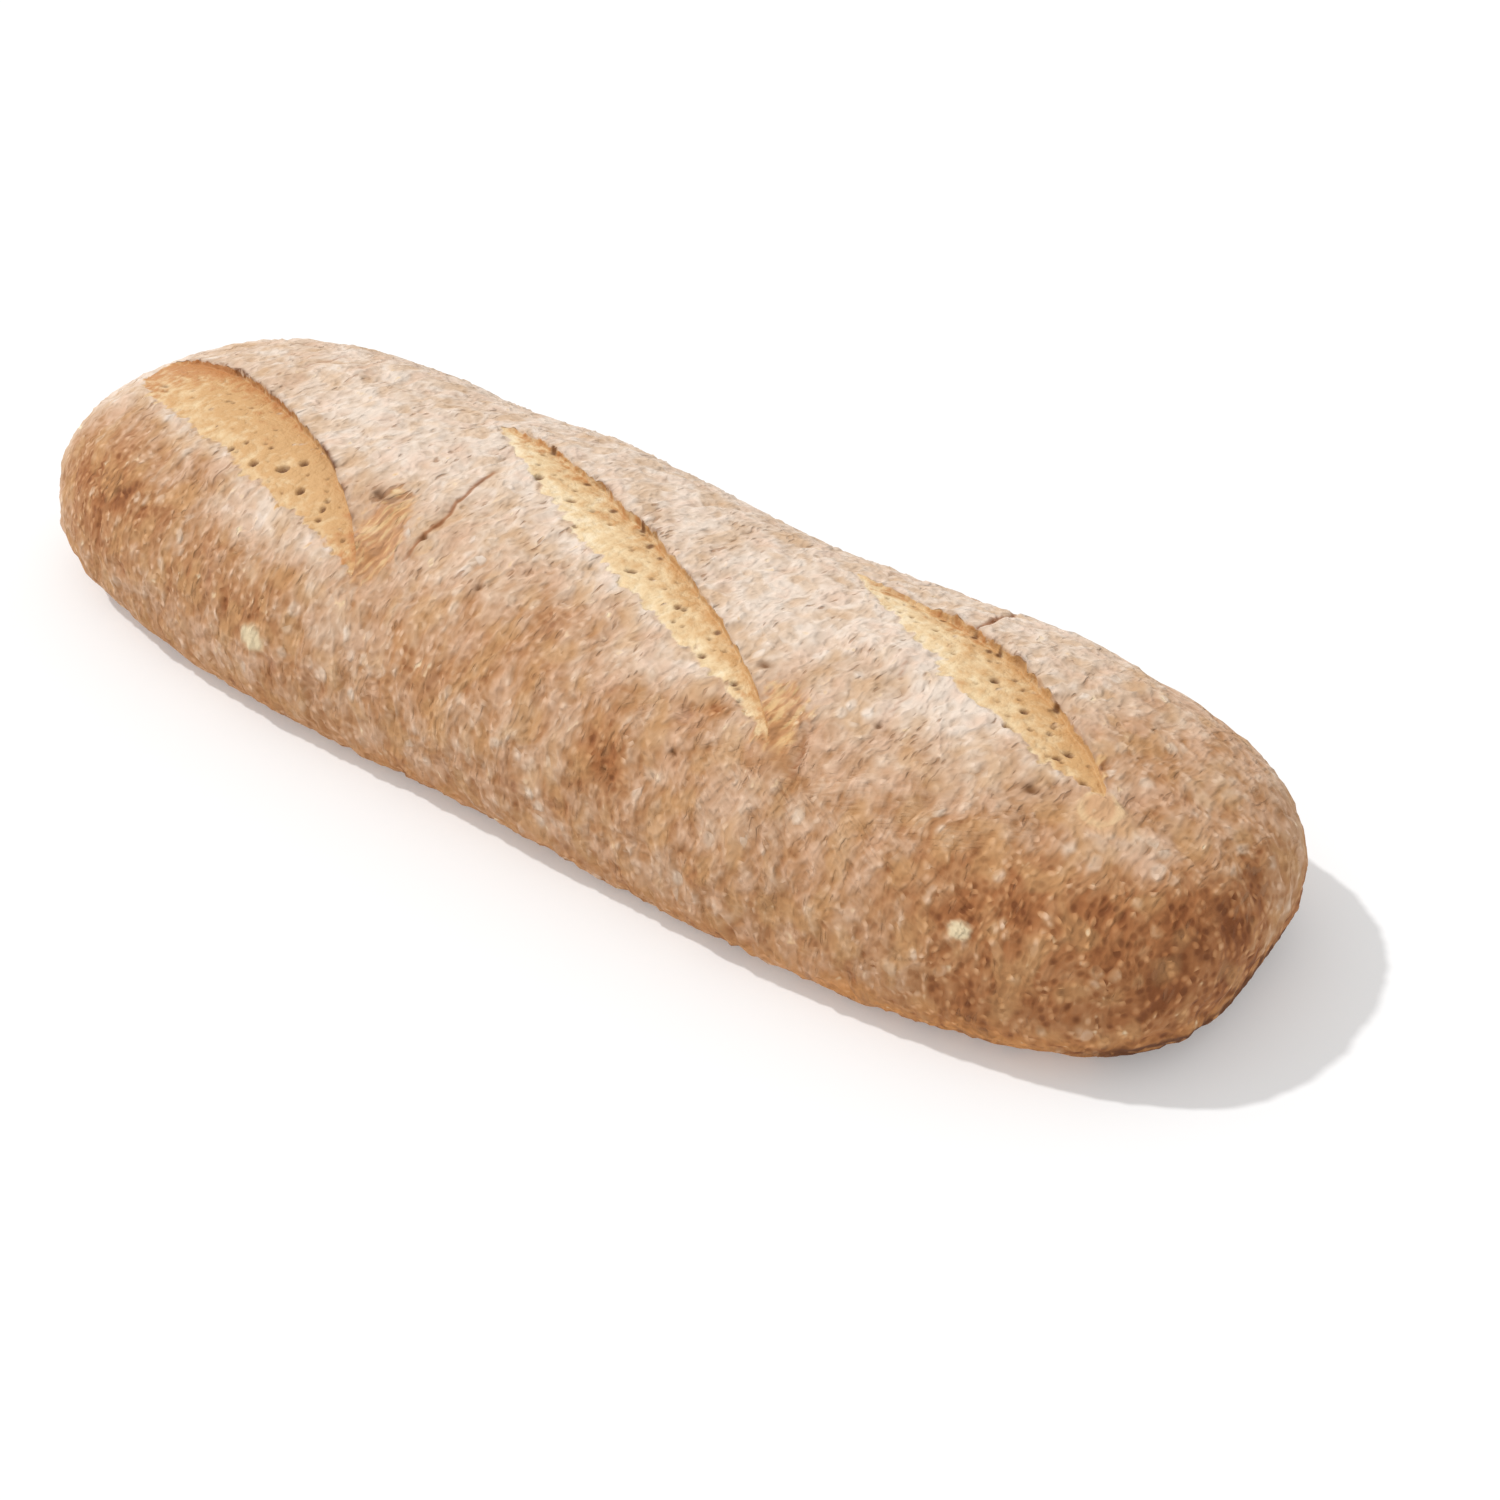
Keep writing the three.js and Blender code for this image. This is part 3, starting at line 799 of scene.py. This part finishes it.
drifts = speckle((11, 14, 14), 2.0, 0.5, 3.1)
blotch = speckle((3.6, 6.0, 6.0), 2.0, 0.5, 9.7)
crumble = speckle((2.0, 2.8, 2.8), 1.0, 0.5, 7.7)
strokes = speckle((2.2, 4.6, 4.6), 1.5, 0.5, 25.9)
creases = speckle((1.3, 4.6, 4.6), 1.5, 0.5, 18.3)
tone = speckle((7, 9, 9), 1.0, 0.5, 15.1)
from_middle, which = cells((1.6, 1.9, 1.9), 12.9)
grains = times(plus(between(which, 0.35, 0.75), -0.4), between(from_middle, 0.65, 0.15))
grains = times(grains, plus(times(between(mark("flour"), 0.7, 0.1), 0.5), 0.2))
from_clump, which_clump = cells((3.2, 4.2, 4.2), 5.3)
clumps = times(between(which_clump, 0.5, 0.8), between(from_clump, 0.6, 0.25))
clumps = times(clumps, between(drifts, 0.42, 0.6))
crease = between(plus(creases, swing(drifts, 0.5)), 0.35, 0.22)

dusting = plus(mark("flour"), swing(drifts, 0.5), swing(blotch, 0.42), swing(crumble, 0.25),
               swing(strokes, 0.22), times(clumps, 0.28), times(grains, 0.45), times(mark("ridge"), 0.05))
skin = shades(dusting, CRUST_BY_FLOUR)
rosy = times(between(plus(tone, swing(crumble, 0.4)), 0.45, 0.8), between(mark("flour"), 0.2, 0.5))
skin = over(times(rosy, 0.4), skin, ROSY_TAN)
skin = over(times(between(tone, 0.5, 0.34), 0.35), skin, GOLDEN_TAN)
skin = over(times(mark("warm"), between(blotch, 0.3, 0.6)), skin, WARM_TAN)
skin = over(times(times(crease, 0.7), mark("creased")), skin, CREASE_BROWN)
skin = add("ShaderNodeHueSaturation", {
    "Color": skin, "Value": plus(swing(crumble, 0.3), times(grains, 0.5), 1.0),
}).outputs["Color"]
skin = over(times(between(plus(mark("bare"), swing(blotch, 0.5)), 0.3, 0.7), 0.75), skin, BARE_TAN)
strand = shades(speckle((1.3, 6, 6), 2.0, 0.5, 4.4),
                ((0.36, STRAND_BROWN), (0.5, CRUMB_BAKED), (0.64, STRAND_PALE)))
torn = between(plus(mark("fibre"), swing(blotch, 0.8), swing(crumble, 0.8)), 0.2, 0.6)
skin = over(times(torn, 0.72), skin, strand)
skin = over(times(between(mark("crack"), 0.2, 1.0), 0.85), skin, CRACK_BROWN)
skin = over(between(plus(mark("flake"), swing(crumble, 0.4)), 0.2, 0.7), skin, FLAKE_CREAM)

bubbles = speckle((3.2, 3.2, 3.2), 3.0, 0.55, 2.2)
baking = plus(mark("bake"), swing(bubbles, 1.8), swing(blotch, 0.8))
dough = shades(baking, ((0.0, CRUMB_PALEST), (0.35, CRUMB_PALE), (1.0, CRUMB)))
browned = between(plus(mark("glow"), swing(bubbles, 1.6), swing(crumble, 1.2)), 0.3, 1.0)
dough = over(browned, dough, CRUMB_BAKED)
opened = between(plus(mark("scar"), swing(blotch, 1.5), swing(crumble, 1.2)), 0.35, 0.7)
rim = times(between(mark("blister"), 0.02, 0.15), between(mark("blister"), 0.5, 0.2))
rim = times(rim, between(blotch, 0.35, 0.6))
surface = over(opened, skin, dough)
surface = over(times(rim, 0.5), surface, CRUMB_PALE)
# Dark line at the slash lips and the base rim: partly baked-dark crust, partly painted shade under the
# lips and painted contact shadow at the base.
surface = over(times(mark("char_and_shade"), between(crumble, 0.25, 0.5)), surface, CHAR_AND_SHADE_BROWN)
# Painted shade inside the pores and pits.
surface = over(times(mark("pore"), 0.95), surface, PORE_SHADE)

relief = plus(swing(crumble, 1.0), swing(blotch, 0.9), swing(strokes, 0.6), swing(creases, 0.3),
              times(crease, -0.2), times(grains, 0.45), times(clumps, 0.2))
dough_relief = plus(swing(bubbles, 1.1), swing(crumble, 0.3))
relief = add("ShaderNodeMix", {0: opened, 2: relief, 3: dough_relief}).outputs[0]
relief = plus(relief, times(rim, 0.12))
bump = add("ShaderNodeBump", {"Height": relief, "Strength": 1.0, "Distance": MM})
roughness = add("ShaderNodeMapRange", {"Value": opened, "To Min": 0.88, "To Max": 0.62})
shader = add("ShaderNodeBsdfPrincipled", {
    "Base Color": surface,
    "Roughness": roughness.outputs["Result"],
    "Normal": bump.outputs["Normal"],
    "Specular IOR Level": 0.3,
})
add("ShaderNodeOutputMaterial", {"Surface": shader.outputs["BSDF"]})
loaf_mesh.materials.append(finish)

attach(loaf, "root")
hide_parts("loaf")

# ---------------------------------------------------------------------------------------------
# Table and light. A plain white table, one soft lamp high behind the loaf's left end, and an
# even white room.

TABLE_SIZE = 6.0
TABLE_WHITE = (0.7, 0.7, 0.7, 1)
TABLE_GLOW = 0.22
LAMP_WAY = Vector((-0.7487, -0.2215, 1.0)).normalized()
LAMP_STRENGTH = 1.75
LAMP_SOFTNESS = math.radians(2.5)
ROOM_STRENGTH = 0.77

bpy.ops.mesh.primitive_plane_add(size=TABLE_SIZE)
table = bpy.context.object
table.name = "table"
table_finish = bpy.data.materials.new("white_table")
table_finish.use_nodes = True
table_shader = table_finish.node_tree.nodes["Principled BSDF"]
table_shader.inputs["Base Color"].default_value = TABLE_WHITE
table_shader.inputs["Roughness"].default_value = 0.9
table_shader.inputs["Specular IOR Level"].default_value = 0.0
table_shader.inputs["Emission Color"].default_value = (1, 1, 1, 1)
table_shader.inputs["Emission Strength"].default_value = TABLE_GLOW
table.data.materials.append(table_finish)

lamp_data = bpy.data.lights.new("lamp", "SUN")
lamp_data.energy = LAMP_STRENGTH
lamp_data.angle = LAMP_SOFTNESS
lamp = bpy.data.objects.new("lamp", lamp_data)
lamp.rotation_euler = LAMP_WAY.to_track_quat("Z", "Y").to_euler()
bpy.context.scene.collection.objects.link(lamp)

room = bpy.data.worlds.new("room")
room.use_nodes = True
room.node_tree.nodes["Background"].inputs["Color"].default_value = (1, 1, 1, 1)
room.node_tree.nodes["Background"].inputs["Strength"].default_value = ROOM_STRENGTH
bpy.context.scene.world = room
bpy.context.scene.view_settings.view_transform = "Standard"
